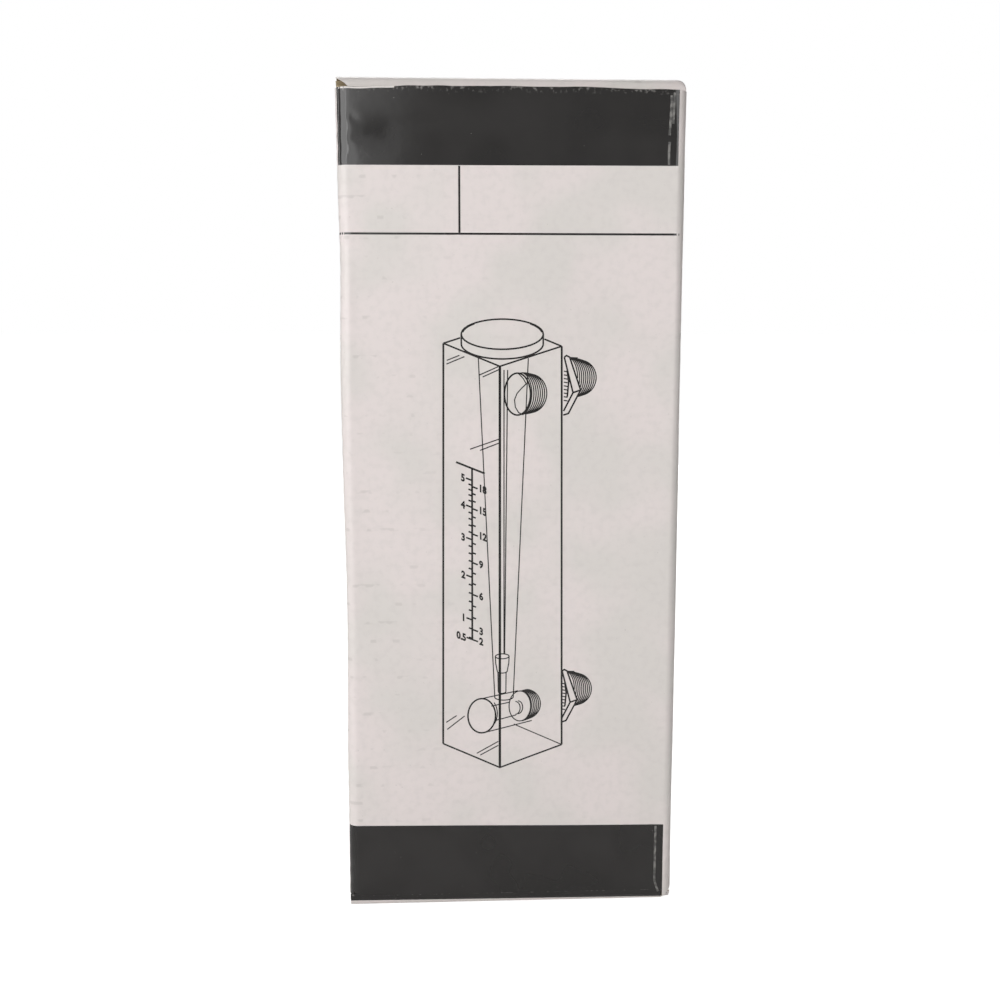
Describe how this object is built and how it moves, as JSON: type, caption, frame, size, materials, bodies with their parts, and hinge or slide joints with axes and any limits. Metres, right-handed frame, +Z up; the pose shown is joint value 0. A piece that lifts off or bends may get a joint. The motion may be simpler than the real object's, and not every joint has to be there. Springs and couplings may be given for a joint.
{
  "type": "printed carton",
  "caption": "Tall tuck-end carton of corrugated board with a hinged lid at each end, dust flaps and an empty interior.",
  "frame": {"origin": "centre of the carton's footprint on the surface that it stands on", "axes": "+Z up, the printed front faces -Y, +X to the right of someone who faces the front"},
  "size_m": [0.104, 0.058, 0.2575],
  "materials": {
    "board": "gloss printed liner outside, plain kraft inside"
  },
  "bodies": {
    "carton": {"carton_body": "board"},
    "upper_lid": {"top_lid": "board"},
    "lower_lid": {"bottom_lid": "board"}
  },
  "joints": [
    {"name": "top_lid_hinge", "type": "hinge", "parent": "carton", "child": "upper_lid", "pos_m": [0, 0.02797, 0.25647], "axis": [-1, 0, 0], "range_deg": [0, 180]},
    {"name": "bottom_lid_hinge", "type": "hinge", "parent": "carton", "child": "lower_lid", "pos_m": [0, -0.02797, 0.00103], "axis": [-1, 0, 0], "range_deg": [0, 180]}
  ]
}
